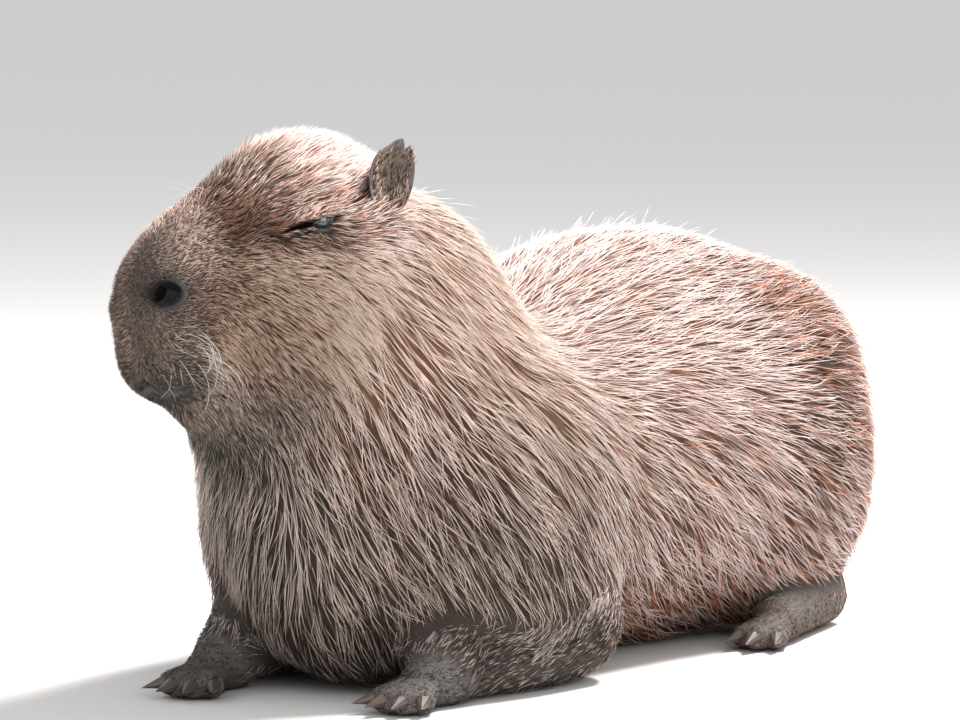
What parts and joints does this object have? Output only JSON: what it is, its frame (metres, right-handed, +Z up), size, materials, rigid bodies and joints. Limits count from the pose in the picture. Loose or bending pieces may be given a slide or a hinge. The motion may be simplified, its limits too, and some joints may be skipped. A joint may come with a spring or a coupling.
{
  "type": "capybara",
  "caption": "Life-size capybara lying on its belly, head raised and turned a little, feet under it, coat in coarse locks.",
  "frame": {"origin": "on the floor under the belly, level with the front of the belly's flat", "axes": "the animal faces -Y, its left side is +X, +Z is up"},
  "size_m": [0.403, 0.9049, 0.435],
  "materials": {
    "coat": "coarse, dry",
    "foot_skin": "matt",
    "ear_skin": "matt",
    "eye": "wet",
    "claw": "worn"
  },
  "bodies": {
    "root": {"torso": "coat", "neck": "coat", "head": "coat", "tail": "coat", "foreleg_left": "coat", "foreleg_right": "coat", "hind_leg_left": "coat", "hind_leg_right": "coat", "forefoot_left": "foot_skin", "forefoot_right": "foot_skin", "hind_foot_left": "foot_skin", "hind_foot_right": "foot_skin", "ear_left": "ear_skin", "ear_right": "ear_skin", "eye_left": "eye", "eye_right": "eye", "forefoot_left_claw_1": "claw", "forefoot_left_claw_2": "claw", "forefoot_left_claw_3": "claw", "forefoot_left_claw_4": "claw", "forefoot_right_claw_1": "claw", "forefoot_right_claw_2": "claw", "forefoot_right_claw_3": "claw", "forefoot_right_claw_4": "claw", "hind_foot_left_claw_1": "claw", "hind_foot_left_claw_2": "claw", "hind_foot_left_claw_3": "claw", "hind_foot_right_claw_1": "claw", "hind_foot_right_claw_2": "claw", "hind_foot_right_claw_3": "claw"}
  },
  "joints": []
}
